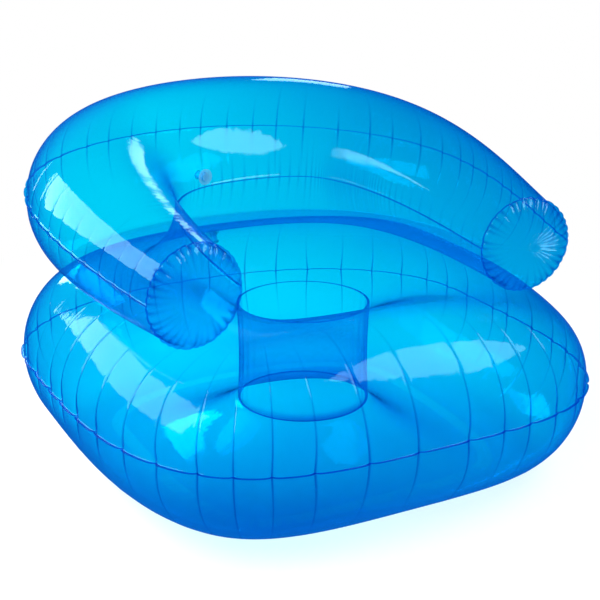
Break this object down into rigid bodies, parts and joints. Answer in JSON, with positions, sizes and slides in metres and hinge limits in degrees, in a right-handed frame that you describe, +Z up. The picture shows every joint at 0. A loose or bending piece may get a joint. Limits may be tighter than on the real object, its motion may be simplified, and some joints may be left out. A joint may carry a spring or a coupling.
{
  "type": "inflatable pool chair",
  "caption": "Blow-up armchair of clear tinted film: a ring-shaped seat chamber with an open well, an arm-and-back tube resting on it, and a push-in valve for each chamber.",
  "frame": {"origin": "on the floor, under the middle of the whole chair's outline", "axes": "+Z up, -Y towards the chair's front, +X to the right as seen from the front. The left and right arms are named as seen from the front."},
  "size_m": [1.082, 1.1357, 0.7194],
  "materials": {
    "film": "clear blue PVC film, glossy and see-through",
    "valve": "soft moulded PVC, clear blue, slightly frosted"
  },
  "bodies": {
    "chair": {"seat_top_sheet": "film", "seat_bottom_sheet": "film", "seat_well_wall": "film", "back_tube_upper_sheet": "film", "back_tube_lower_sheet": "film", "left_arm_end_cap": "film", "right_arm_end_cap": "film", "back_valve_base": "valve", "seat_valve_base": "valve"},
    "back_valve_stem": {"back_valve_stem": "valve"},
    "back_valve_plug": {"back_valve_plug": "valve"},
    "back_valve_flap": {"back_valve_check_flap": "valve"},
    "seat_valve_stem": {"seat_valve_stem": "valve"},
    "seat_valve_plug": {"seat_valve_plug": "valve"},
    "seat_valve_flap": {"seat_valve_check_flap": "valve"}
  },
  "joints": [
    {"name": "back_valve_stem_slide", "type": "slide", "parent": "chair", "child": "back_valve_stem", "axis": [0.2267, -0.9737, -0.0239], "range_m": [0, 0.016]},
    {"name": "back_valve_plug_hinge", "type": "hinge", "parent": "back_valve_stem", "child": "back_valve_plug", "pos_m": [-0.11297, 0.19324, 0.54888], "axis": [-0.974, -0.2268, 0], "range_deg": [0, 135]},
    {"name": "back_valve_flap_hinge", "type": "hinge", "parent": "back_valve_stem", "child": "back_valve_flap", "pos_m": [-0.11995, 0.22324, 0.54711], "axis": [0.974, 0.2268, 0], "range_deg": [0, 60]},
    {"name": "seat_valve_stem_slide", "type": "slide", "parent": "chair", "child": "seat_valve_stem", "axis": [0.0244, 0.6679, 0.7438], "range_m": [0, 0.016]},
    {"name": "seat_valve_plug_hinge", "type": "hinge", "parent": "seat_valve_stem", "child": "seat_valve_plug", "pos_m": [0.01686, 0.4697, 0.33904], "axis": [0.9993, -0.0366, 0], "range_deg": [0, 135]},
    {"name": "seat_valve_flap_hinge", "type": "hinge", "parent": "seat_valve_stem", "child": "seat_valve_flap", "pos_m": [0.01618, 0.45102, 0.3145], "axis": [-0.9993, 0.0366, 0], "range_deg": [0, 60]}
  ]
}
